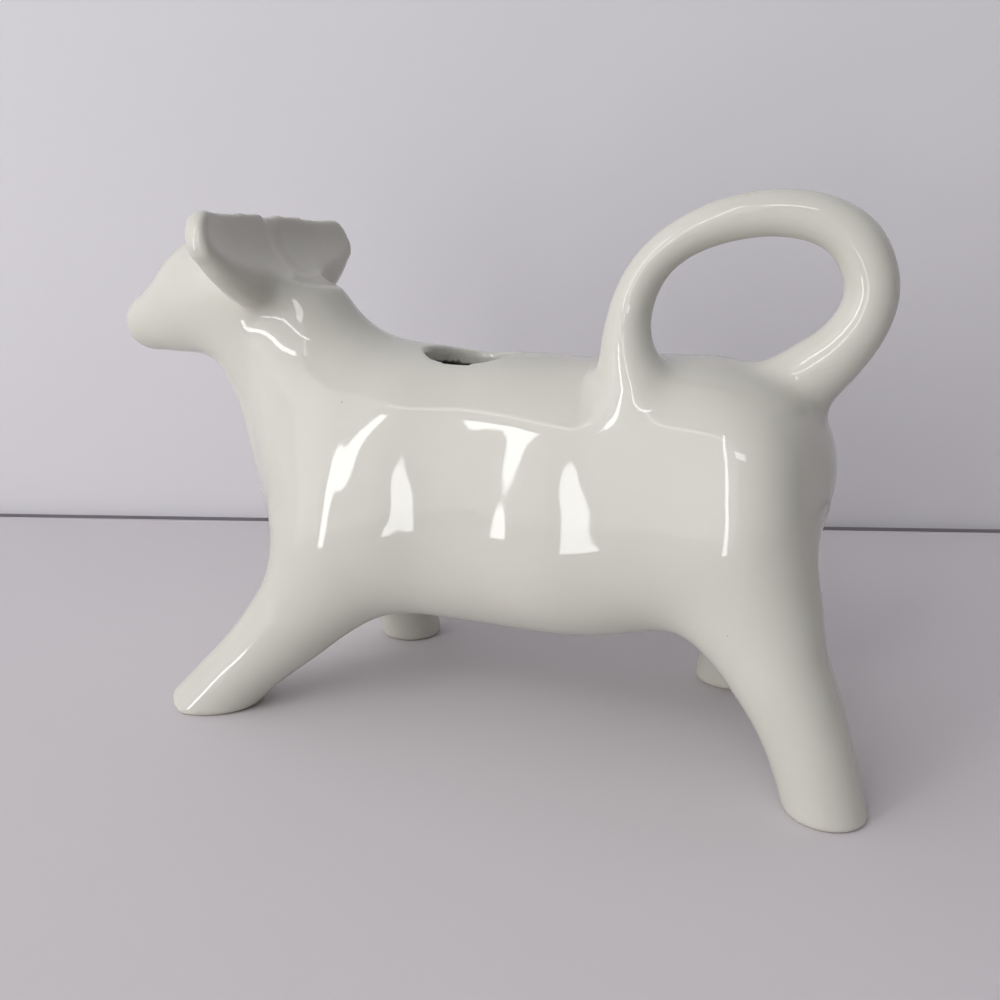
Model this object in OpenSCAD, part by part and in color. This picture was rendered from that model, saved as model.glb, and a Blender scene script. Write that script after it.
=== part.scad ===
/* [Whole cow] */
// Length from the muzzle to the back of the hind foot.
cow_length = 171; // [166:1:176]
// Height of the back above the table.
back_height = 78; // [74:1:82]
// Distance between the middles of a left and a right foot.
track_width = 50.5; // [48:0.5:53]
// Thickness of the cast wall around the hollow.
wall = 3.6; // [3:0.1:4.2]

/* [Body] */
// Length of the barrel from chest to rump.
body_length = 120; // [116:0.5:124]
// Depth of the barrel from back to belly.
body_depth = 56; // [53:0.5:58]
// Width of the barrel from side to side.
body_width = 53; // [51:0.5:56]
// Fullness of the barrel's sections, where 2 is an oval and more has flatter sides.
body_fullness = 2.3; // [2:0.1:2.6]
// Diameter of the filling hole in the back.
fill_hole_diameter = 19; // [17:0.5:21]

/* [Neck and head] */
// Depth of the neck from throat to nape.
neck_depth = 38; // [36:0.5:40]
// Width of the neck from side to side.
neck_width = 29; // [28:0.5:31]
// Depth of the head from crown to jaw.
head_depth = 28; // [27:0.5:30]
// Width of the head across the cheeks.
head_width = 24; // [23:0.5:26]
// Diameter of the pouring hole in the muzzle.
mouth_diameter = 6; // [5:0.25:6.5]
// Reach of an ear tip from the middle of the head.
ear_reach = 28; // [26:0.5:30]
// Height of an ear where it is widest.
ear_height = 18; // [17:0.5:19]
// Depth of the cup that the ears and the back of the crown form.
cup_depth = 15; // [14:0.25:15.5]

/* [Legs and tail] */
// Thickness of a leg just above the foot.
leg_girth = 16; // [15:0.25:17]
// Thickness of the tail where the fingers hold it.
tail_girth = 9.6; // [9:0.1:10.5]

/* [Output] */
// Which piece is drawn.

/* [Hidden] */
porcelain = "#E3E2DA";

// Each row places one section of a form. The columns are the place along the barrel, or for the
// neck and head along the cow, the height, then half the depth and half the width.
body_shares = [
  [-0.500, 0.590, 0.089, 0.085],
  [-0.483, 0.603, 0.196, 0.170],
  [-0.446, 0.622, 0.321, 0.294],
  [-0.383, 0.641, 0.420, 0.404],
  [-0.311, 0.645, 0.471, 0.472],
  [-0.236, 0.640, 0.496, 0.498],
  [-0.153, 0.635, 0.505, 0.483],
  [-0.069, 0.629, 0.507, 0.468],
  [0.023, 0.629, 0.509, 0.485],
  [0.114, 0.644, 0.512, 0.502],
  [0.189, 0.664, 0.500, 0.494],
  [0.265, 0.686, 0.468, 0.481],
  [0.331, 0.708, 0.425, 0.487],
  [0.394, 0.724, 0.368, 0.496],
  [0.443, 0.735, 0.296, 0.430],
  [0.477, 0.741, 0.211, 0.311],
  [0.495, 0.746, 0.125, 0.181],
  [0.502, 0.746, 0.061, 0.087]
];
neck_shares = [
  [-0.138, 0.603, 0.592, 0.638],
  [-0.196, 0.782, 0.542, 0.559],
  [-0.235, 0.923, 0.489, 0.490],
  [-0.267, 1.051, 0.453, 0.428],
  [-0.284, 1.154, 0.368, 0.366],
  [-0.293, 1.218, 0.237, 0.276]
];
head_shares = [
  [-0.243, 1.173, 0.286, 0.333],
  [-0.257, 1.173, 0.393, 0.417],
  [-0.290, 1.165, 0.464, 0.492],
  [-0.337, 1.136, 0.493, 0.500],
  [-0.387, 1.100, 0.450, 0.425],
  [-0.430, 1.062, 0.329, 0.325],
  [-0.465, 1.036, 0.236, 0.250],
  [-0.488, 1.023, 0.179, 0.208],
  [-0.496, 1.018, 0.121, 0.146]
];

// Each row places one section of a limb. The columns are the place along the cow, the place
// across it, the height, then half the thickness fore and aft and half the thickness across.
ear_shares = [
  [-0.276, 0.071, 1.237, 0.444, 0.222],
  [-0.275, 0.286, 1.236, 0.467, 0.222],
  [-0.273, 0.464, 1.235, 0.500, 0.211],
  [-0.270, 0.643, 1.249, 0.456, 0.200],
  [-0.268, 0.786, 1.273, 0.361, 0.183],
  [-0.266, 0.893, 1.295, 0.278, 0.161],
  [-0.265, 0.971, 1.312, 0.200, 0.133],
  [-0.265, 1.000, 1.318, 0.133, 0.100]
];
tail_shares = [
  [0.336, 0, 0.821, 0.833, 0.781],
  [0.371, 0, 0.910, 0.812, 0.750],
  [0.400, 0, 0.978, 0.667, 0.646],
  [0.425, 0, 1.031, 0.573, 0.583],
  [0.446, 0, 1.103, 0.521, 0.542],
  [0.453, 0.004, 1.186, 0.500, 0.521],
  [0.436, 0.010, 1.276, 0.490, 0.500],
  [0.403, 0.016, 1.329, 0.458, 0.490],
  [0.353, 0.024, 1.349, 0.438, 0.479],
  [0.304, 0.040, 1.335, 0.417, 0.458],
  [0.258, 0.059, 1.295, 0.385, 0.438],
  [0.226, 0.079, 1.237, 0.375, 0.427],
  [0.208, 0.109, 1.167, 0.406, 0.448],
  [0.202, 0.149, 1.090, 0.448, 0.490],
  [0.206, 0.198, 1.013, 0.563, 0.583],
  [0.219, 0.238, 0.923, 0.708, 0.677]
];
foreleg_left_shares = [
  [-0.118, 0.248, 0.615, 1.188, 0.750],
  [-0.146, 0.341, 0.442, 0.975, 0.713],
  [-0.192, 0.412, 0.285, 0.688, 0.562],
  [-0.249, 0.463, 0.147, 0.500, 0.475],
  [-0.296, 0.495, 0.038, 0.475, 0.463],
  [-0.328, 0.507, -0.038, 0.475, 0.463]
];
foreleg_right_shares = [
  [-0.185, 0.257, 0.577, 0.938, 0.725],
  [-0.182, 0.352, 0.404, 0.762, 0.650],
  [-0.176, 0.440, 0.231, 0.550, 0.519],
  [-0.167, 0.485, 0.103, 0.487, 0.469],
  [-0.160, 0.499, 0, 0.475, 0.463],
  [-0.157, 0.501, -0.051, 0.475, 0.463]
];
hindleg_left_shares = [
  [0.312, 0.257, 0.641, 1.188, 0.781],
  [0.361, 0.356, 0.468, 0.925, 0.719],
  [0.394, 0.428, 0.333, 0.625, 0.575],
  [0.420, 0.463, 0.231, 0.512, 0.494],
  [0.441, 0.485, 0.115, 0.469, 0.463],
  [0.457, 0.495, 0, 0.456, 0.456],
  [0.465, 0.495, -0.051, 0.456, 0.456]
];
hindleg_right_shares = [
  [0.336, 0.257, 0.628, 0.938, 0.738],
  [0.337, 0.356, 0.455, 0.825, 0.675],
  [0.332, 0.442, 0.282, 0.581, 0.537],
  [0.325, 0.485, 0.128, 0.494, 0.475],
  [0.317, 0.499, 0, 0.475, 0.463],
  [0.313, 0.501, -0.051, 0.475, 0.463]
];

// The middle of the barrel lies a little behind the middle of the cow.
body_middle_share = 0.078;
// The barrel is this share wider at its belly than at its middle, and narrower at its back.
belly_share = 0.07;
// An ear is blunter than an oval.
ear_fullness = 2.5;
// The cup behind the ears is part of an egg that lies across the nape.
cup_place_share = -0.187;
cup_height_share = 1.295;
cup_reach_share = 1.07;
cup_drop_share = 0.583;
// The wall between the cup and the hollow of the head is thinner than elsewhere.
cup_wall_share = 0.75;
// The filling hole sits just behind the shoulders.
fill_hole_share = -0.002;
// The mouth is bored straight along the muzzle.
mouth_height_share = 1.019;
mouth_start_share = -0.437;

function unit(v) = v / norm(v);

// A smooth curve through the rows of a table, at row number u.
function row_at(rows, u) =
  let(last = len(rows) - 1, k = min(floor(u), last - 1), t = u - k)
  let(a = rows[max(k - 1, 0)], b = rows[k], c = rows[k + 1], d = rows[min(k + 2, last)])
  (2 * b + (c - a) * t + (2 * a - 5 * b + 4 * c - d) * t * t + (3 * b - a - 3 * c + d) * t * t * t) / 2;

function finer(rows, steps) = [for (i = [0:steps * (len(rows) - 1)]) row_at(rows, i / steps)];

// A cosine or sine pushed out to fill the corners of its oval.
function filled(value, fullness) = sign(value) * pow(abs(value), 2 / fullness);

// One section: a is the half size along the first side, b along the second.
function oval(middle, along, side, a, b, points, fullness = 2) =
  let(u = unit(cross(along, side)), v = cross(u, along))
  [for (i = [0:points - 1]) let(turn = 360 * i / points)
    middle + v * a * filled(cos(turn), fullness) + u * b * filled(sin(turn), fullness)];

// One section of the barrel, square to the length of the cow and wider towards the belly.
function girth_at(along, height, a, b, points) =
  [for (i = [0:points - 1])
    let(turn = 360 * i / points, rise = filled(sin(turn), body_fullness))
    [along, a * filled(cos(turn), body_fullness) * (1 - belly_share * rise), height + b * rise]];

// A closed skin over sections that all have the same number of points.
module skin(rings) {
  count = len(rings[0]);
  last = len(rings) - 1;
  sides = [for (j = [0:last - 1]) for (i = [0:count - 1]) for (half = [0:1])
    let(a = j * count + i, b = j * count + (i + 1) % count)
    half == 0 ? [a, b + count, b] : [a, a + count, b + count]];
  front = [for (i = [0:count - 1]) i];
  back = [for (i = [count - 1:-1:0]) last * count + i];
  polyhedron(points = [for (ring = rings) for (point = ring) point], faces = concat([front], sides, [back]));
}

// A barrel whose sections stand square to the length of the cow. Its skin lies deep below the
// outside, so that depth zero gives the outside and the wall gives the hollow.
module barrel(rows, depth, points) {
  skin([for (row = rows)
    let(along = body_middle_share * cow_length + row[0] * (body_length - 2 * depth))
    girth_at(along, row[1] * back_height, row[3] * body_width - depth, row[2] * body_depth - depth, points)]);
}

// A limb whose sections stand square to its own path. Its rows hold true sizes.
module limb(rows, side, points, fullness = 2) {
  last = len(rows) - 1;
  skin([for (i = [0:last])
    let(before = rows[max(i - 1, 0)], after = rows[min(i + 1, last)], row = rows[i])
    let(along = unit([after[0] - before[0], after[1] - before[1], after[2] - before[2]]))
    oval([row[0], row[1], row[2]], along, side, row[4], row[3], points, fullness)]);
}

function sized(rows, hand, reach, girth) =
  [for (r = rows) [r[0] * cow_length, hand * r[1] * reach, r[2] * back_height, r[3] * girth, r[4] * girth]];

function central(rows, depth, width) =
  [for (r = rows) [r[0] * cow_length, 0, r[1] * back_height, r[2] * depth, r[3] * width]];

function thinned(rows, depth) =
  [for (r = rows) [r[0], r[1], r[2], r[3] - depth, r[4] - depth]];

module body_form() {
  barrel(finer(body_shares, 2), 0, 36);
}

module body_hollow() {
  barrel(finer(body_shares, 1), wall, 30);
}

module neck_form() {
  limb(finer(central(neck_shares, neck_depth, neck_width), 3), [0, 1, 0], 32);
}

module neck_hollow() {
  difference() {
    limb(finer(thinned(central(neck_shares, neck_depth, neck_width), wall), 2), [0, 1, 0], 20);
    cup(wall * cup_wall_share);
  }
}

module head_form() {
  limb(finer(central(head_shares, head_depth, head_width), 2), [0, 1, 0], 32);
}

// The hollow of the head stops behind the muzzle, where the mouth meets it.
module head_hollow() {
  rows = central(head_shares, head_depth, head_width);
  difference() {
    limb(finer(thinned([for (i = [1:len(rows) - 3]) rows[i]], wall), 2), [0, 1, 0], 20);
    cup(wall * cup_wall_share);
  }
}

// The space scooped out behind the ears, grown by a margin where the hollow keeps clear of it.
module cup(margin) {
  last = 20;
  points = 32;
  depth = cup_depth + margin;
  reach = cup_reach_share * ear_reach + margin;
  drop = cup_drop_share * ear_height + margin;
  translate([cup_place_share * cow_length, 0, cup_height_share * back_height])
    skin([for (j = [0:last])
      let(rise = 170 * j / last - 85)
      [for (i = [0:points - 1]) let(turn = 360 * i / points)
        [depth * cos(rise) * sin(turn), reach * sin(rise), drop * cos(rise) * cos(turn)]]]);
}

module mouth() {
  translate([mouth_start_share * cow_length, 0, mouth_height_share * back_height])
    rotate([0, -90, 0])
      cylinder(d = mouth_diameter, h = cow_length / 6, $fn = 32);
}

module leg(rows, hand) {
  color(porcelain)
    difference() {
      limb(finer(sized(rows, hand, track_width, leg_girth), 3), [0, 1, 0], 28);
      body_form();
      translate([-cow_length, -track_width, -track_width])
        cube([2 * cow_length, 2 * track_width, track_width]);
    }
}

module ear(hand) {
  color(porcelain)
    difference() {
      limb(finer(sized(ear_shares, hand, ear_reach, ear_height), 3), [1, 0, 0], 24, ear_fullness);
      neck_form();
      head_form();
      cup(0);
    }
}

module body_shell() {
  color(porcelain)
    difference() {
      body_form();
      body_hollow();
      neck_hollow();
      translate([fill_hole_share * cow_length, 0, 0.7 * back_height])
        cylinder(d = fill_hole_diameter, h = back_height / 2, $fn = 64);
    }
}

module neck() {
  color(porcelain)
    difference() {
      neck_form();
      body_form();
      neck_hollow();
      head_hollow();
      cup(0);
    }
}

module head() {
  color(porcelain)
    difference() {
      head_form();
      neck_form();
      neck_hollow();
      head_hollow();
      cup(0);
      mouth();
    }
}

module ear_left() {
  ear(-1);
}

module ear_right() {
  ear(1);
}

module foreleg_left() {
  leg(foreleg_left_shares, -1);
}

module foreleg_right() {
  leg(foreleg_right_shares, 1);
}

module hindleg_left() {
  leg(hindleg_left_shares, -1);
}

module hindleg_right() {
  leg(hindleg_right_shares, 1);
}

module tail_handle() {
  color(porcelain)
    difference() {
      limb(finer(sized(tail_shares, -1, track_width, tail_girth), 3), [0, 1, 0], 24);
      body_form();
    }
}

body_shell();
neck();
head();
ear_left();
ear_right();
foreleg_left();
foreleg_right();
hindleg_left();
hindleg_right();
tail_handle();
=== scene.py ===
import math
import bpy
import numpy as np
from mathutils import Matrix, Vector


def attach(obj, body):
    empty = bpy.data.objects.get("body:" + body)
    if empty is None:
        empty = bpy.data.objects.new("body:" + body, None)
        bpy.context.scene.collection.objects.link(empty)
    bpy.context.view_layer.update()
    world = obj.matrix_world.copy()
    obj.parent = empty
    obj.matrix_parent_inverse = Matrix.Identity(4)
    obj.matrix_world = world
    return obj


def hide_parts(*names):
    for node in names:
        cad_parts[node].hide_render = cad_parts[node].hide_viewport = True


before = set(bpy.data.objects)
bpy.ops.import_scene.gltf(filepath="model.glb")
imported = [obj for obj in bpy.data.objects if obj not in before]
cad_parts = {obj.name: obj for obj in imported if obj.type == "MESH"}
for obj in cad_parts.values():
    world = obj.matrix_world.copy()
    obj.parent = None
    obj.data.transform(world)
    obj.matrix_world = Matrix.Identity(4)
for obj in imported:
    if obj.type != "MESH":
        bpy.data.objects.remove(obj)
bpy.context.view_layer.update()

mm = 0.001

# The cow is slip-cast: one glazed skin whose parts run into each other in soft fillets, which
# separate grids can't share. So each part is an oval profile carried along a path, the distances
# to these profiles are run together into one field, and the skin is where that field is zero.
# The skin is then parted at the joints, so that each node has its own closed piece.
# Rows of a path, in mm: along the cow, across it, height, half height and half width of the oval.

torso = {
    "rows": [
        (-47.3, 0, 48.2, 18.9, 15.7), (-44.6, 0, 48.3, 19.5, 16.3), (-40.1, 0, 48.8, 21.7, 18.8),
        (-32.6, 0, 50.0, 24.2, 22.3), (-24.0, 0, 50.3, 26.4, 24.9), (-19.0, 0, 50.1, 27.3, 25.6),
        (-14.0, 0, 49.9, 27.8, 26.1), (-10.0, 0, 49.7, 28.1, 26.15), (-7.0, 0, 49.5, 28.2, 25.92),
        (-4.0, 0, 49.4, 28.3, 25.55), (0.0, 0, 49.2, 28.4, 25.22), (5.0, 0, 49.1, 28.4, 25.1),
        (12.0, 0, 49.05, 28.35, 25.5), (16.0, 0, 48.95, 28.15, 26.0), (20.0, 0, 48.9, 28.0, 26.5),
        (25.0, 0, 49.05, 27.85, 26.85), (30.0, 0, 49.5, 27.6, 26.7), (33.0, 0, 50.05, 27.35, 26.56),
        (37.0, 0, 51.0, 27.0, 26.47), (45.0, 0, 53.1, 25.9, 26.5), (53.0, 0, 55.15, 23.75, 26.75),
        (60.5, 0, 56.5, 20.9, 27.25), (66.4, 0, 57.3, 19.0, 26.5), (70.4, 0, 57.7, 17.0, 23.8),
        (74.3, 0, 57.9, 12.5, 17.0)],
    "square": 2.6,                  # 2 is an oval, more has flatter sides
    "egg": 0.13,                    # the oval is this much wider at its foot and narrower at its top
    "domes": (20.0, 18.0),          # length over which each end rounds off
}
neck = {
    "rows": [
        (-17.0, 0, 37.5, 19.0, 14.5), (-23.6, 0, 47.0, 19.0, 14.5), (-33.6, 0, 61.0, 19.0, 14.5),
        (-40.4, 0, 71.9, 17.6, 13.2), (-46.0, 0, 81.8, 16.8, 11.8), (-49.0, 0, 89.8, 13.6, 10.2),
        (-50.1, 0, 95.0, 12.0, 9.5), (-51.8, 0, 101.5, 10.0, 8.0)],
    "square": 2.0, "fillet": 18.0, "domes": (14.0, 14.0),
}
head = {
    "rows": [
        (-37.0, 0, 91.2, 11.0, 9.6), (-44.0, 0, 91.4, 12.0, 10.6), (-49.6, 0, 90.7, 12.7, 11.8),
        (-57.6, 0, 88.6, 13.8, 12.0), (-66.1, 0, 85.8, 12.6, 10.2), (-73.6, 0, 82.8, 9.3, 7.8),
        (-79.6, 0, 80.9, 6.8, 6.2), (-83.0, 0, 80.0, 6.2, 6.0), (-86.0, 0, 79.3, 5.6, 5.8)],
    "square": 2.0, "fillet": 9.5, "domes": (14.0, 6.0),
}
ears = {
    "hands": {"ear_left": -1, "ear_right": 1},
    "rows": [
        (-45.8, 1.0, 95.8, 9.0, 4.4), (-45.8, 8.0, 95.5, 9.4, 4.4), (-45.8, 13.0, 95.3, 9.6, 4.3),
        (-45.7, 17.0, 96.3, 8.6, 4.1), (-45.6, 21.0, 97.6, 7.3, 3.9), (-45.6, 25.0, 99.2, 5.7, 3.6),
        (-45.4, 29.3, 100.6, 4.3, 3.2)],
    "square": 2.4, "side": (0.98, 0.0, 0.2), "fillet": 5.0, "domes": (3.0, 3.0),
    "tilt": 0.042,                  # the head leans a little, so one ear is higher
    "dish": {"centre": (-33.0, 0.0, 103.4), "half": (13.7, 44.0, 12.6), "round": 2.8},
}
legs = {
    "foreleg_left": {"hand": -1, "rows": [
        (-14.0, 6.0, 58.0, 15.0, 9.0), (-21.6, 12.6, 46.0, 14.5, 9.0), (-25.1, 16.8, 34.0, 13.6, 10.0),
        (-32.9, 19.3, 22.2, 10.4, 8.9), (-42.6, 22.6, 11.5, 8.0, 7.6), (-50.6, 25.5, 3.0, 7.6, 7.4),
        (-56.1, 27.4, -3.0, 7.6, 7.4)]},
    "foreleg_right": {"hand": 1, "rows": [
        (-30.0, 6.0, 55.0, 14.0, 9.0), (-31.6, 14.0, 42.0, 13.0, 9.4), (-31.1, 18.2, 30.0, 11.0, 9.4),
        (-30.1, 22.2, 18.0, 8.6, 8.2), (-28.6, 24.5, 8.0, 7.8, 7.5), (-27.4, 25.2, 0.0, 7.6, 7.4),
        (-26.9, 25.3, -4.0, 7.6, 7.4)]},
    "hindleg_left": {"hand": -1, "rows": [
        (46.0, 7.0, 59.0, 15.0, 9.0), (54.4, 14.0, 48.0, 14.6, 9.6), (61.9, 18.5, 36.0, 12.8, 10.2),
        (67.3, 21.6, 26.0, 9.6, 9.0), (71.8, 23.4, 18.0, 8.2, 7.9), (75.4, 24.5, 9.0, 7.5, 7.4),
        (78.2, 25.0, 0.0, 7.3, 7.3), (79.5, 25.0, -4.0, 7.3, 7.3)]},
    "hindleg_right": {"hand": 1, "rows": [
        (58.0, 7.0, 58.0, 14.0, 9.0), (58.4, 14.0, 46.0, 14.0, 9.6), (57.9, 18.5, 34.0, 12.2, 9.8),
        (56.9, 22.3, 22.0, 9.0, 8.4), (55.6, 24.5, 10.0, 7.9, 7.6), (54.2, 25.2, 0.0, 7.6, 7.4),
        (53.6, 25.3, -4.0, 7.6, 7.4)]},
}
legFillet = 14.0
legDomes = (14.0, 1.0)
tail = {
    "rows": [
        (51.8, 0, 57.8, 8.0, 7.5), (57.4, 0, 64.0, 8.0, 7.5), (63.4, 0, 71.0, 7.8, 7.2),
        (68.4, 0, 76.3, 6.4, 6.2), (72.6, 0, 80.4, 5.5, 5.6), (76.2, 0, 86.0, 5.0, 5.2),
        (77.4, -0.2, 92.5, 4.8, 5.0), (74.6, -0.5, 99.5, 4.7, 4.8), (68.9, -0.8, 103.7, 4.4, 4.7),
        (60.4, -1.2, 105.2, 4.2, 4.6), (51.9, -2.0, 104.1, 4.0, 4.4), (44.2, -3.0, 101.0, 3.7, 4.2),
        (38.7, -4.0, 96.5, 3.6, 4.1), (35.6, -5.5, 91.0, 3.9, 4.3), (34.6, -7.5, 85.0, 4.3, 4.7),
        (35.3, -10.0, 79.0, 5.4, 5.6), (37.4, -12.0, 72.0, 6.8, 6.5), (39.4, -13.2, 65.0, 7.6, 7.0)],
    "square": 2.0, "fillet": 6.0, "domes": (8.0, 8.0),
}
casting = {
    "wall": 3.6,                    # thickness of the fired wall
    "holeCentre": (-0.34, 0.0), "holeRadius": 9.5, "holeFloor": 55.0,
    "mouthHeight": 79.5, "mouthRadius": 3.0, "mouthDepth": -74.0,
    "rimRound": 2.2,                # the glaze softens the rims
    "footRound": 1.6,               # and the edges of the feet
    "ripple": 0.03, "waves": (3.1, 4.3, 3.7, 5.0), "twist": 0.7,    # unevenness left by hand finishing
    "low": (-90, -36, -2.3), "high": (90, 36, 112),     # corners round the whole cow
    "grid": 0.95,                   # spacing of the points that the skin is worked out on
}

# An oval profile carried along a path. The rows are joined by a Catmull-Rom curve and spaced
# evenly along it, and a uniform cubic B-spline through these control rows is smooth to its bend.
def carriedOval(rows, square=2.0, side=(0, 1, 0), hand=1, spacing=2.2, tilt=0.0, egg=0.0, domes=(8, 8)):
    rows = np.array(rows, float)
    rows[:, 1] *= hand
    rows[:, 2] -= tilt * rows[:, 1]
    last = len(rows) - 1
    u = np.linspace(0, last, last * 12 + 1)
    k = np.minimum(u.astype(int), last - 1)
    t = (u - k)[:, None]
    a, b = rows[np.maximum(k - 1, 0)], rows[k]
    c, d = rows[k + 1], rows[np.minimum(k + 2, last)]
    curve = 0.5 * (2 * b + (c - a) * t + (2 * a - 5 * b + 4 * c - d) * t**2
                   + (3 * b - a - 3 * c + d) * t**3)
    walked = np.concatenate([[0], np.cumsum(np.linalg.norm(np.diff(curve[:, :3], axis=0), axis=1))])
    stops = np.linspace(0, walked[-1], int(walked[-1] / spacing) + 2)
    even = np.stack([np.interp(stops, walked, column) for column in curve.T], 1)
    control = np.vstack([2 * even[0] - even[1], even, 2 * even[-1] - even[-2]])
    return {"control": control, "square": square, "side": np.array(side, float), "egg": egg,
            "domes": domes, "step": stops[1]}

# the spline and its first and second slopes at the stations u, from four control rows each
def splineAt(control, u):
    k = np.clip(u.astype(int), 0, len(control) - 4)
    t = (u - k)[:, None]
    rows = [control[k + i] for i in range(4)]
    weights = [((1 - t)**3 / 6, (3 * t**3 - 6 * t**2 + 4) / 6,
                (-3 * t**3 + 3 * t**2 + 3 * t + 1) / 6, t**3 / 6),
               (-(1 - t)**2 / 2, 1.5 * t**2 - 2 * t, -1.5 * t**2 + t + 0.5, t**2 / 2),
               (1 - t, 3 * t - 2, 1 - 3 * t, t)]
    return [sum(w * row for w, row in zip(weight, rows)) for weight in weights]

# Distance from each point to the skin of a carried oval, negative inside. The nearest station on
# the path is found among the control rows and refined by Newton steps. There, k is the root of
# a, b and c each raised to the power square: the point's height and width as shares of the oval's,
# and its way into the domed end. k is 1 on the skin, and (k - 1) over its slope is the distance.
nearest = {
    "rounds": 3, "longest": 0.6,    # Newton steps, and the stations that one may go
    "stiffest": 0.3,                # least share of the path's own pull, where the path bends away
    "thinnest": 0.5,                # least half height or width in mm
    "fade": 6,                      # stations from an end over which the change in size starts to count
}
tiny = 1e-12

def ovalDistance(points, oval, margin=24.0):
    control, square, end = oval["control"], oval["square"], len(oval["control"]) - 3
    reach = control[:, 3:].max(1)[:, None] + margin
    low, high = (control[:, :3] - reach).min(0), (control[:, :3] + reach).max(0)
    near = np.all((points > low) & (points < high), axis=1)
    distance = np.full(len(points), margin)
    p = points[near]
    if not len(p):
        return distance
    knots = splineAt(control, np.arange(end + 1.0))[0][:, :3]
    u = np.argmin((knots**2).sum(1) - 2 * p @ knots.T, axis=1).astype(float)
    for _ in range(nearest["rounds"]):
        at, slope, bend = splineAt(control, u)
        away = p - at[:, :3]
        pull = (away * slope[:, :3]).sum(1)
        stiff = (slope[:, :3]**2).sum(1) - (away * bend[:, :3]).sum(1)
        stiff = np.maximum(stiff, nearest["stiffest"] * (slope[:, :3]**2).sum(1))
        u = np.clip(u + np.clip(pull / stiff, -nearest["longest"], nearest["longest"]), 0, end)
    at, slope, bend = splineAt(control, u)
    speed = np.linalg.norm(slope[:, :3], axis=1)
    along = slope[:, :3] / speed[:, None]
    up = np.cross(along, oval["side"])
    up /= np.linalg.norm(up, axis=1)[:, None]
    across = np.cross(up, along)
    away = p - at[:, :3]
    tall, wide = np.maximum(at[:, 3:], nearest["thinnest"]).T
    v, w = (away * up).sum(1), np.abs((away * across).sum(1))
    wide = wide * (1 - oval["egg"] * np.clip(v / tall, -1, 1))
    v = np.abs(v)
    past = (away * along).sum(1) * ((u <= 0) | (u >= end))
    first, second = oval["domes"]
    c0 = 1 - (u * oval["step"] + past) / first
    c1 = 1 - ((end - u) * oval["step"] - past) / second
    a, b, c = v / tall, w / wide, np.maximum(np.maximum(c0, c1), 0)
    k = (a**square + b**square + c**square + tiny) ** (1 / square)
    fade = np.clip(np.minimum(u, end - u) / nearest["fade"], 0, 1)
    fade = fade**2 * (3 - 2 * fade) / speed
    swell = ((a / k)**square * slope[:, 3] / tall + (b / k)**square * slope[:, 4] / wide) * fade
    dome = (c / k) ** (square - 1) * np.where(c0 > c1, -1 / first, 1 / second)
    lean = np.sqrt(((a / k) ** (square - 1) / tall)**2 + ((b / k) ** (square - 1) / wide)**2
                   + (dome - swell)**2 + tiny)
    distance[near] = (k - 1) / lean
    return np.minimum(distance, margin)

# distance to an ellipsoid, negative inside: k (k - 1) over the length of its scaled slope
def dishDistance(points, centre, half):
    q = (points - np.array(centre)) / np.array(half)
    k = np.sqrt((q**2).sum(1)) + 1e-9
    return k * (k - 1) / (np.sqrt(((q / np.array(half))**2).sum(1)) + 1e-9)

# the smaller of two distances, run into each other over a width by a cubic
def runInto(a, b, width):
    h = np.maximum(width - np.abs(a - b), 0) / width
    return np.minimum(a, b) - h**3 * (width / 6)

# the larger of two distances, rounded in the same way
def cutBy(a, b, width):
    return -runInto(-a, -b, width)

ovals = {"torso": carriedOval(torso["rows"], torso["square"], egg=torso["egg"], domes=torso["domes"])}
for name, form in {"neck": neck, "head": head, "tail": tail}.items():
    ovals[name] = carriedOval(form["rows"], form["square"], domes=form["domes"])
for name, hand in ears["hands"].items():
    ovals[name] = carriedOval(ears["rows"], ears["square"], ears["side"], hand, 1.4, ears["tilt"],
                              domes=ears["domes"])
for name, leg in legs.items():
    ovals[name] = carriedOval(leg["rows"], hand=leg["hand"], domes=legDomes)

# the body, neck and head without limbs, hollowed later by the thickness of the wall
def coreField(points):
    core = ovalDistance(points, ovals["torso"])
    core = runInto(core, ovalDistance(points, ovals["neck"]), neck["fillet"])
    core = runInto(core, ovalDistance(points, ovals["head"]), head["fillet"])
    dish = dishDistance(points, ears["dish"]["centre"], ears["dish"]["half"])
    return cutBy(core, -dish, ears["dish"]["round"]), dish

# the whole casting: core, ears, legs and tail run together, then the hollow, holes and floor cut
def porcelainField(points):
    core, dish = coreField(points)
    skin = core
    for name in ears["hands"]:
        skin = runInto(skin, ovalDistance(points, ovals[name]), ears["fillet"])
    skin = cutBy(skin, -dish, ears["dish"]["round"])
    for name in legs:
        skin = runInto(skin, ovalDistance(points, ovals[name]), legFillet)
    skin = runInto(skin, ovalDistance(points, ovals["tail"]), tail["fillet"])
    x, y, z = points.T
    one, two, three, four = casting["waves"]
    swing = np.sin(x / one + casting["twist"] * np.sin(z / two)) * np.sin(z / three + y / four)
    skin = skin + casting["ripple"] * swing
    hx, hy = casting["holeCentre"]
    hole = np.maximum(np.hypot(x - hx, y - hy) - casting["holeRadius"], casting["holeFloor"] - z)
    mouth = np.maximum(np.hypot(y, z - casting["mouthHeight"]) - casting["mouthRadius"],
                       x - casting["mouthDepth"])
    hollow = np.minimum(np.minimum(core + casting["wall"], hole), mouth)
    skin = cutBy(skin, -hollow, casting["rimRound"])
    return cutBy(skin, -z, casting["footRound"])

# four samples at the corners of a small tetrahedron give the value and the slope
def fieldSlope(points, step=0.05):
    corners = np.array([(1, 1, 1), (1, -1, -1), (-1, 1, -1), (-1, -1, 1)], float) * step
    values = np.stack([porcelainField(points + c) for c in corners])
    return values.mean(0), (values.T @ corners) / (4 * step * step)

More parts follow.
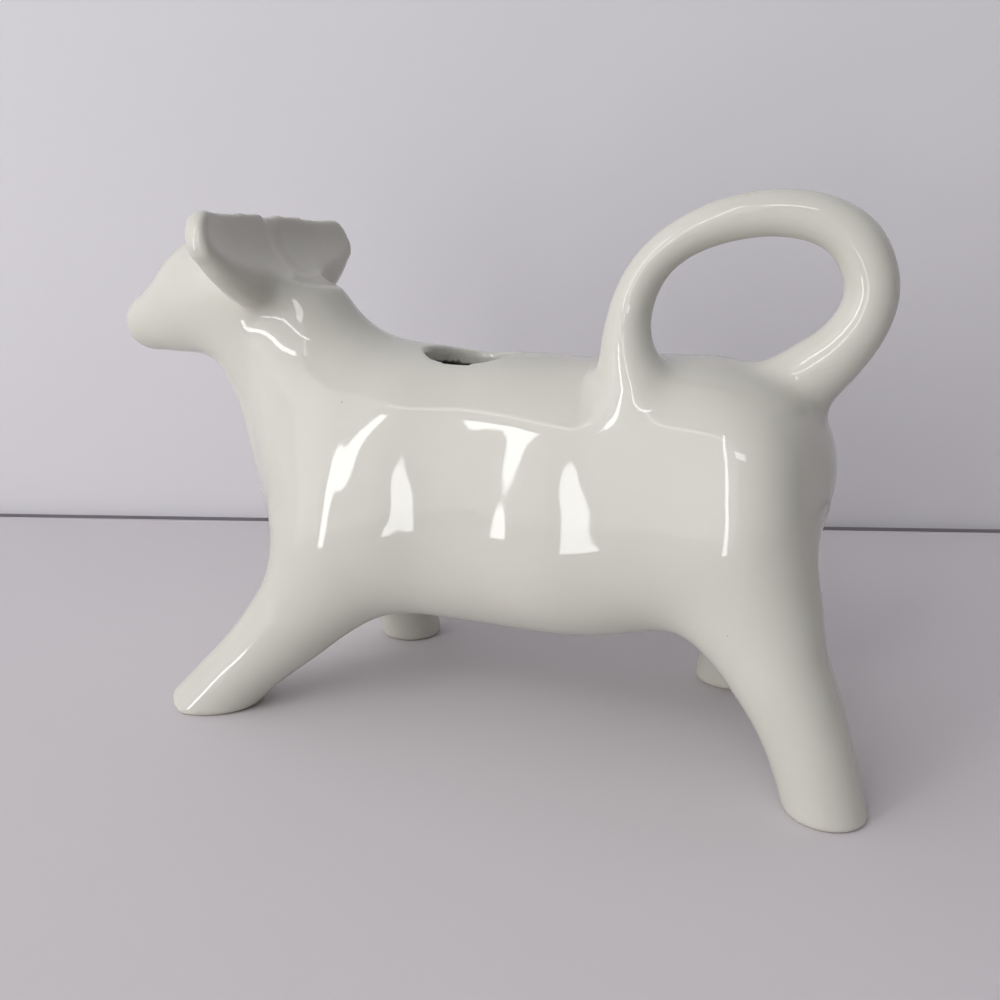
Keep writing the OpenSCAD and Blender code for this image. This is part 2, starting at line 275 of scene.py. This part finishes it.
# The field is sampled first on a grid four times as wide, and finely only near the skin. Each grid
# cell that the skin crosses gets a point, the mean of its edges' crossings, and the four cells
# round each crossed grid edge are joined by two triangles.
def zeroSkin(low, high, size, block=4, reach=1.5):
    counts = [int(np.ceil((b - a) / size / block)) for a, b in zip(low, high)]
    middles = np.stack(np.meshgrid(*[a + (np.arange(n) + 0.5) * size * block for a, n in zip(low, counts)],
                                   indexing="ij"), -1).reshape(-1, 3)
    rough = porcelainField(middles).reshape(counts)
    value = rough
    for axis in range(3):
        value = np.repeat(value, block, axis)
    fine = np.abs(value) < size * block * reach
    axes = [a + (np.arange(n * block) + 0.5) * size for a, n in zip(low, counts)]
    at = np.argwhere(fine)
    value[fine] = porcelainField(np.array(low) + (at + 0.5) * size)
    inside = value < 0
    cellShape = tuple(n - 1 for n in value.shape)
    total = np.zeros(cellShape + (3,))
    count = np.zeros(cellShape, int)

    def cornerValue(offset):
        return value[tuple(slice(first, first + n) for first, n in zip(offset, cellShape))]

    for axis in range(3):
        for i in (0, 1):
            for j in (0, 1):
                p = [i, j]
                p.insert(axis, 0)
                q = list(p)
                q[axis] = 1
                a, b = cornerValue(p), cornerValue(q)
                crossed = (a < 0) != (b < 0)
                share = np.where(crossed, a / np.where(crossed, a - b, 1), 0)
                for other in range(3):
                    total[..., other] += share if other == axis else crossed * p[other]
                count += crossed
    used = count > 0
    index = np.full(cellShape, -1)
    index[used] = np.arange(used.sum())
    verts = (np.argwhere(used) + total[used] / count[used][:, None] + 0.5) * size + np.array(low)
    quads = []
    for axis in range(3):
        b, c = (axis + 1) % 3, (axis + 2) % 3
        cut = [slice(1, -1)] * 3
        cut[axis] = slice(0, -1)
        ahead = list(cut)
        ahead[axis] = slice(1, None)
        first, second = inside[tuple(cut)], inside[tuple(ahead)]
        at = np.argwhere(first != second)
        leaving = first[tuple(at.T)]
        at = at + np.array([0 if i == axis else 1 for i in range(3)])
        ring = []
        for db, dc in ((-1, -1), (0, -1), (0, 0), (-1, 0)):
            o = at.copy()
            o[:, b] += db
            o[:, c] += dc
            ring.append(index[tuple(o.T)])
        ring = np.stack(ring, 1)
        ring[~leaving] = ring[~leaving][:, ::-1]
        quads.append(ring)
    quads = np.concatenate(quads)
    d1 = np.linalg.norm(verts[quads[:, 0]] - verts[quads[:, 2]], axis=1)
    d2 = np.linalg.norm(verts[quads[:, 1]] - verts[quads[:, 3]], axis=1)
    short = d1 <= d2
    return verts, np.concatenate([quads[short][:, [0, 1, 2]], quads[short][:, [0, 2, 3]],
                                  quads[~short][:, [0, 1, 3]], quads[~short][:, [1, 2, 3]]])

# Newton steps bring the points onto the skin itself, none longer than the slope times longest
def settle(points, rounds, longest=0.5, flattest=0.05):
    for _ in range(rounds):
        value, slope = fieldSlope(points)
        step = np.clip(value / np.maximum((slope**2).sum(1), flattest), -longest, longest)
        points = points - step[:, None] * slope
    value, slope = fieldSlope(points)
    return points, slope / np.linalg.norm(slope, axis=1)[:, None], value

print("skin: sampling the field")
verts, tris = zeroSkin(casting["low"], casting["high"], casting["grid"])
verts, normals, value = settle(verts, 3)
print("skin: %d points, %d triangles, settled within %.3f mm"
      % (len(verts), len(tris), np.abs(value).max()))

# Where the skin is parted: the piece beyond each plane leaves its owner. A plane is given by a
# point on it and its direction into the piece, and holds only between two corners, low and high.
far = 999
partings = [
    {"piece": "tail_handle", "owner": "body_shell", "through": (50, 0, 81.5), "into": (0, 0, 1),
     "low": (20, -far, -far), "high": (far, far, far)},
    {"piece": "ear_left", "owner": "head", "through": (0, -13, 96), "into": (0, -0.94, 0.33),
     "low": (-far, -far, 80), "high": (-30, 0, far)},
    {"piece": "ear_right", "owner": "head", "through": (0, 13, 96), "into": (0, 0.94, 0.33),
     "low": (-far, 0, 80), "high": (-30, far, far)},
    {"piece": "head", "owner": "neck", "through": (-46.6, 0, 82), "into": (-0.46, 0, 0.89),
     "low": (-far, -far, -far), "high": (-20, far, far)},
    {"piece": "neck", "owner": "body_shell", "through": (-40, 0, 68), "into": (-0.45, 0, 0.89),
     "low": (-far, -far, -far), "high": (-12, far, far)},
    {"piece": "foreleg_left", "owner": "body_shell",
     "through": (-36.5, -21.5, 18), "into": (-0.64, -0.17, -0.75),
     "low": (-far, -far, -far), "high": (10, 0, 30)},
    {"piece": "foreleg_right", "owner": "body_shell",
     "through": (-30.3, 21, 21), "into": (0.07, 0.3, -0.95),
     "low": (-far, 0, -far), "high": (10, far, 30)},
    {"piece": "hindleg_left", "owner": "body_shell",
     "through": (65.5, -20.8, 29), "into": (0.4, -0.25, -0.88),
     "low": (38, -far, -far), "high": (far, -4, 40)},
    {"piece": "hindleg_right", "owner": "body_shell",
     "through": (57.0, 21, 23.5), "into": (-0.08, 0.35, -0.93),
     "low": (38, 4, -far), "high": (far, far, 40)},
]

def planeSide(points, parting):
    into = np.array(parting["into"], float)
    into /= np.linalg.norm(into)
    side = (points - np.array(parting["through"], float)) @ into
    inside = ((points > parting["low"]) & (points < parting["high"])).all(1)
    return np.where(inside, side, -np.abs(side) - 1), into

# points almost on a plane slide away from it along the skin, so that no triangle is cut too thin
clear, gentlest = 0.2 * casting["grid"], 0.2
for parting in partings:
    side, into = planeSide(verts, parting)
    close = np.abs(side) < clear
    slide = into - normals[close] * (normals[close] @ into)[:, None]
    steep = np.maximum((slide**2).sum(1), gentlest)
    push = np.where(side[close] < 0, -clear, clear) - side[close]
    verts[close] += slide * (push / steep)[:, None]
verts, normals, value = settle(verts, 1)

# Each triangle that a plane crosses becomes three. The new points lie where its edges meet the
# plane, moved onto the skin along the plane.
def partSkin(verts, tris, side, into, rounds=2, flattest=0.1):
    beyond = side > 0
    count = beyond[tris].sum(1)
    mixed = (count == 1) | (count == 2)
    t = tris[mixed]
    lone = beyond[t] == (count[mixed] == 1)[:, None]
    t = t[np.arange(len(t))[:, None], (lone.argmax(1)[:, None] + [0, 1, 2]) % 3]
    edges = np.sort(np.concatenate([t[:, [0, 1]], t[:, [0, 2]]]), 1)
    edges, which = np.unique(edges, axis=0, return_inverse=True)
    which = which.ravel()
    a, b = edges.T
    share = (side[a] / (side[a] - side[b]))[:, None]
    new = verts[a] + share * (verts[b] - verts[a])
    for _ in range(rounds):
        value, slope = fieldSlope(new)
        slope -= (slope @ into)[:, None] * into
        new -= (value / np.maximum((slope**2).sum(1), flattest))[:, None] * slope
    ab, ac = which[:len(t)] + len(verts), which[len(t):] + len(verts)
    cut = np.concatenate([np.stack([t[:, 0], ab, ac], 1), np.stack([ab, t[:, 1], t[:, 2]], 1),
                          np.stack([ab, t[:, 2], ac], 1)])
    return (np.concatenate([verts, new]), np.concatenate([tris[~mixed], cut]),
            np.concatenate([side, np.zeros(len(new))]))

# The flat end left at a plane, facing along into: a solid part's loop is closed by a fan from its
# middle, and a hollow part's two loops by triangles that step round both in order of angle. The tail
# meets the body in two loops, which lie further apart than any loop is wide.
def flatEnd(verts, tris, into, hollow, firstNew, widest=30):
    edges = np.concatenate([tris[:, [0, 1]], tris[:, [1, 2]], tris[:, [2, 0]]])
    edges = edges[(edges >= firstNew).all(1)]
    size = len(verts)
    code, back = edges[:, 0] * size + edges[:, 1], edges[:, 1] * size + edges[:, 0]
    rim = edges[~np.isin(code, back)]
    used = np.unique(rim)
    middle = verts[used].mean(0)
    if not hollow:
        groups = [rim]
        if np.ptp(verts[used][:, 0]) > widest:
            first = verts[rim[:, 0], 0] < middle[0]
            groups = [rim[first], rim[~first]]
        ends = []
        for rim in groups:
            middle = verts[np.unique(rim)].mean(0)
            ends.append(np.stack([rim[:, 1], rim[:, 0], np.full(len(rim), len(verts))], 1))
            verts = np.vstack([verts, middle])
        return verts, np.concatenate(ends)
    first = np.cross(into, (0, 1, 0))
    first /= np.linalg.norm(first)
    second = np.cross(into, first)
    away = verts[used] - middle
    angle = np.arctan2(away @ second, away @ first)
    inner = coreField(verts[used])[0] < -0.5 * casting["wall"]
    loops = []
    for part in (~inner, inner):
        order = np.argsort(angle[part])
        loops.append((used[part][order], angle[part][order]))
    (outer, outerAngle), (inner, innerAngle) = loops
    nextOuter, nextInner = np.roll(outer, -1), np.roll(inner, -1)
    atInner = np.searchsorted(innerAngle, np.roll(outerAngle, -1), "left") - 1
    atOuter = np.searchsorted(outerAngle, np.roll(innerAngle, -1), "right") - 1
    return verts, np.concatenate([np.stack([outer, nextOuter, inner[atInner]], 1),
                                  np.stack([outer[atOuter], nextInner, inner], 1)])

hollowParts = ("head", "neck")
pieces = {}
flats = {"body_shell": []}
rest = tris
for parting in partings:
    side, into = planeSide(verts, parting)
    firstNew = len(verts)
    verts, rest, side = partSkin(verts, rest, side, into)
    beyond = (side[rest] > 0).any(1)
    name, owner = parting["piece"], parting["owner"]
    piece = rest[beyond]
    rest = rest[~beyond]
    verts, end = flatEnd(verts, piece, into, name in hollowParts, firstNew)
    pieces[name] = piece
    flats.setdefault(name, [])
    flats.setdefault(owner, [])
    one, two, three = verts[end[:, 0]], verts[end[:, 1]], verts[end[:, 2]]
    turned = np.cross(two - one, three - one).sum(0) @ into > 0
    away, toward = (end[:, ::-1], end) if turned else (end, end[:, ::-1])
    flats[name].append((away, -into))
    flats[owner].append((toward, into))
pieces["body_shell"] = rest

# one closed piece a node: the skin takes the field's own slope as its normals, the ends are flat
_, slope = fieldSlope(verts)
normals = slope / np.linalg.norm(slope, axis=1)[:, None]
skins = {}
for name, piece in pieces.items():
    faces = np.concatenate([piece] + [flat for flat, _ in flats[name]])
    corner = normals[piece].reshape(-1, 3)
    for flat, facing in flats[name]:
        corner = np.concatenate([corner, np.tile(facing, (len(flat) * 3, 1))])
    used, local = np.unique(faces, return_inverse=True)
    mesh = bpy.data.meshes.new(name + "_skin")
    mesh.from_pydata((verts[used] * mm).tolist(), [], local.reshape(-1, 3).tolist())
    mesh.polygons.foreach_set("use_smooth", np.ones(len(faces), bool))
    mesh.update()
    mesh.normals_split_custom_set(corner.tolist())
    skins[name] = bpy.data.objects.new(name + "_skin", mesh)
    bpy.context.scene.collection.objects.link(skins[name])
    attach(skins[name], "root")
    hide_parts(name)
    print("piece:", name, len(faces), "triangles")

def linear(hexColour):
    parts = [int(hexColour[i:i + 2], 16) / 255 for i in (1, 3, 5)]
    return [c / 12.92 if c <= 0.04045 else ((c + 0.055) / 1.055) ** 2.4 for c in parts] + [1.0]

def addNode(tree, kind, settings=(), inputs=(), links=()):
    node = tree.nodes.new(kind)
    for key, value in dict(settings).items():
        setattr(node, key, value)
    for key, value in dict(inputs).items():
        node.inputs[key].default_value = value
    for socket, source in dict(links).items():
        tree.links.new(source, node.inputs[socket])
    return node

# Glazed porcelain: a near-white body under a clear, slightly green glaze, fired to a gloss. The glaze
# lies thicker in soft patches, is wavy over a few mm, has a few pinholes and is wiped off the feet.
glaze = {
    "colour": "#D1D0C6", "thick": "#C7C6BB", "roughness": 0.045, "ior": 1.5,
    "pooling": 24.0,                # mm between the patches where the glaze lies thicker
    "wave": 5.0, "waveHeight": 0.03, "waveStrength": 0.5,
    "bare": "#CFC8BA", "bareRoughness": 0.7, "bareHeight": 0.45,
    "pinhole": 11.0, "pinholeRadius": 0.16, "pinholeColour": "#9A9382",
    "edge": 0.4,                    # share over which a pinhole or the bare foot fades out
}

# 1 below a height or radius and 0 above it, fading over a share of it on both sides
def fadeBelow(tree, source, limit, share):
    return addNode(tree, "ShaderNodeMapRange", {},
                   {"From Min": (1 - share) * limit, "From Max": (1 + share) * limit,
                    "To Min": 1.0, "To Max": 0.0}, {"Value": source}).outputs[0]

def noise(tree, place, size, detail, roughness):
    return addNode(tree, "ShaderNodeTexNoise", {"noise_dimensions": "3D"},
                   {"Scale": 1 / (size * mm), "Detail": detail, "Roughness": roughness},
                   {"Vector": place}).outputs[0]

porcelain = bpy.data.materials.new("glazedPorcelain")
porcelain.use_nodes = True
tree = porcelain.node_tree
tree.nodes.clear()
place = addNode(tree, "ShaderNodeTexCoord").outputs["Object"]
colour = addNode(tree, "ShaderNodeMix", {"data_type": "RGBA"},
                 {6: linear(glaze["colour"]), 7: linear(glaze["thick"])},
                 {0: noise(tree, place, glaze["pooling"], 2.0, 0.5)})
bump = addNode(tree, "ShaderNodeBump", {},
               {"Strength": glaze["waveStrength"], "Distance": glaze["waveHeight"] * mm},
               {"Height": noise(tree, place, glaze["wave"], 1.0, 0.4)})
spots = addNode(tree, "ShaderNodeTexVoronoi", {"voronoi_dimensions": "3D"},
                {"Scale": 1 / (glaze["pinhole"] * mm)}, {"Vector": place})
speck = fadeBelow(tree, spots.outputs["Distance"], glaze["pinholeRadius"] / glaze["pinhole"], glaze["edge"])
dotted = addNode(tree, "ShaderNodeMix", {"data_type": "RGBA"}, {7: linear(glaze["pinholeColour"])},
                 {0: speck, 6: colour.outputs[2]})
height = addNode(tree, "ShaderNodeSeparateXYZ", links={0: place}).outputs[2]
foot = fadeBelow(tree, height, glaze["bareHeight"] * mm, glaze["edge"] / 2)
footed = addNode(tree, "ShaderNodeMix", {"data_type": "RGBA"}, {7: linear(glaze["bare"])},
                 {0: foot, 6: dotted.outputs[2]})
rough = addNode(tree, "ShaderNodeMix", {"data_type": "FLOAT"},
                {2: glaze["roughness"], 3: glaze["bareRoughness"]}, {0: foot})
shader = addNode(tree, "ShaderNodeBsdfPrincipled", {}, {"IOR": glaze["ior"]}, {
    "Base Color": footed.outputs[2], "Roughness": rough.outputs[0], "Normal": bump.outputs[0]})
addNode(tree, "ShaderNodeOutputMaterial", links={"Surface": shader.outputs[0]})
for skin in skins.values():
    skin.data.materials.append(porcelain)
print("porcelain: on", len(skins), "pieces")

# The room: a table whose front edge is nearer than the window's reflections, and a wall close behind
# the cow, with a dark strip at its foot: painted shade where table and wall meet. Corners in mm.
# The wall is one-sided, so that a view from behind looks through it.
room = {
    "roughness": 0.9,
    "floor": {"colour": "#D5D1D3", "corners": [
        (-1500, -260, 0), (1500, -260, 0), (1500, 1500, 0), (-1500, 1500, 0)]},
    "wall": {"colour": "#DAD8DC", "corners": [
        (-1500, -314, 0), (1500, 582, 0), (1500, 582, 1500), (-1500, -314, 1500)]},
    # painted shade: a dark strip on the table along the wall's foot, standing in for the shade where they
    # meet
    "paintedGapShade": {"colour": "#77737A", "corners": [
        (-1500, -317.5, 0.2), (1500, 578.5, 0.2), (1500, 582, 0.2), (-1500, -314, 0.2)]},
}
sheets = {}
for name in ("floor", "wall", "paintedGapShade"):
    mesh = bpy.data.meshes.new(name)
    mesh.from_pydata([[v * mm for v in corner] for corner in room[name]["corners"]], [], [(0, 1, 2, 3)])
    sheets[name] = bpy.data.objects.new(name, mesh)
    bpy.context.scene.collection.objects.link(sheets[name])
    paint = bpy.data.materials.new(name)
    paint.use_nodes = True
    front = paint.node_tree.nodes["Principled BSDF"]
    front.inputs["Base Color"].default_value = linear(room[name]["colour"])
    front.inputs["Roughness"].default_value = room["roughness"]
    mesh.materials.append(paint)
wallTree = sheets["wall"].data.materials[0].node_tree
oneSided = addNode(wallTree, "ShaderNodeMixShader", {}, {}, {
    0: addNode(wallTree, "ShaderNodeNewGeometry").outputs["Backfacing"],
    1: wallTree.nodes["Principled BSDF"].outputs[0],
    2: addNode(wallTree, "ShaderNodeBsdfTransparent").outputs[0]})
wallTree.links.new(oneSided.outputs[0], wallTree.nodes["Material Output"].inputs["Surface"])

view = {"place": (0.0762, -0.1957, 0.1051), "down": 16.0, "turn": 19.7, "lens": 36, "near": 0.01}
camera = bpy.data.objects.new("camera", bpy.data.cameras.new("camera"))
bpy.context.scene.collection.objects.link(camera)
bpy.context.scene.camera = camera
camera.data.sensor_width = 36
camera.data.lens = view["lens"]
camera.data.clip_start = view["near"]
camera.location = view["place"]
camera.rotation_euler = (math.radians(90 - view["down"]), 0, math.radians(view["turn"]))

# A window to the left of the camera, its blind drawn: light comes past the blind's two sides and over
# its top. Each lamp is a long strip, given by the directions of its two ends from the cow, as degrees
# round from straight in front and degrees up, with its width in mm and its power.
window = {
    "distance": 900, "facing": (0.02, 0, 0.05),
    "strips": {
        "windowLeft": {"ends": ((-34, -11), (-34, 45)), "width": 75, "power": 2.3},
        "windowRight": {"ends": ((-10, -11), (-10, 57)), "width": 42, "power": 1.6},
        "windowTop": {"ends": ((-40, 52), (-8, 52)), "width": 50, "power": 0.16},
    },
}

# at the window's distance, so many degrees round from straight in front of the cow and so many up
def beside(azimuth, rise):
    azimuth, rise = math.radians(azimuth), math.radians(rise)
    return Vector((math.sin(azimuth), -math.cos(azimuth), math.tan(rise))) * window["distance"] * mm

def areaLamp(name, place, width, height, power):
    data = bpy.data.lights.new(name, "AREA")
    data.shape = "RECTANGLE"
    data.size, data.size_y = width, height
    data.energy = power
    lamp = bpy.data.objects.new(name, data)
    bpy.context.scene.collection.objects.link(lamp)
    lamp.location = place
    lamp.visible_camera = False
    return lamp

for name, lit in window["strips"].items():
    foot, top = [beside(*end) for end in lit["ends"]]
    middle, up = (foot + top) / 2, (top - foot).normalized()
    lamp = areaLamp(name, middle, lit["width"] * mm, (top - foot).length, lit["power"])
    facing = Vector(window["facing"]) - middle
    facing = (facing - facing.dot(up) * up).normalized()
    lamp.rotation_euler = Matrix((up.cross(-facing), up, -facing)).transposed().to_euler()

# what the strips leave out, much softer: the window's own glow and a pale patch of ceiling
softLamps = {
    "ceiling": {"place": beside(10, 44), "target": (60, 0, 100), "size": (240, 120), "power": 0.5},
    "windowSky": {"place": Vector((-620, -1050, 620)) * mm, "target": (0, 0, 50), "size": (1500, 1500),
                  "power": 6.0},
}
for name, lit in softLamps.items():
    lamp = areaLamp(name, lit["place"], lit["size"][0] * mm, lit["size"][1] * mm, lit["power"])
    facing = Vector(lit["target"]) * mm - lit["place"]
    lamp.rotation_euler = facing.to_track_quat("-Z", "Y").to_euler()

# The room's own light comes from the window's side. Only the camera sees the world in the wall's
# colour, and it lights nothing.
daylight = {"tint": (0.92, 0.9, 0.95, 1), "windowSide": 0.95, "farSide": 0.05}
world = bpy.data.worlds.new("room")
bpy.context.scene.world = world
world.use_nodes = True
tree = world.node_tree
sky = tree.nodes["Background"]
sky.inputs[0].default_value = daylight["tint"]
along = addNode(tree, "ShaderNodeSeparateXYZ", {}, {},
                {0: addNode(tree, "ShaderNodeTexCoord").outputs["Generated"]})
fade = addNode(tree, "ShaderNodeMapRange", {},
               {"From Min": -1.0, "From Max": 1.0, "To Min": daylight["windowSide"],
                "To Max": daylight["farSide"]}, {"Value": along.outputs[0]})
tree.links.new(fade.outputs[0], sky.inputs[1])
backdrop = addNode(tree, "ShaderNodeBackground", {}, {"Color": linear(room["wall"]["colour"])})
seen = addNode(tree, "ShaderNodeMixShader", {}, {}, {
    0: addNode(tree, "ShaderNodeLightPath").outputs["Is Camera Ray"],
    1: sky.outputs[0], 2: backdrop.outputs[0]})
tree.links.new(seen.outputs[0], tree.nodes["World Output"].inputs[0])
bpy.context.scene.view_settings.view_transform = "Standard"
print("room: table, wall,", len(window["strips"]) + len(softLamps), "lamps and camera")
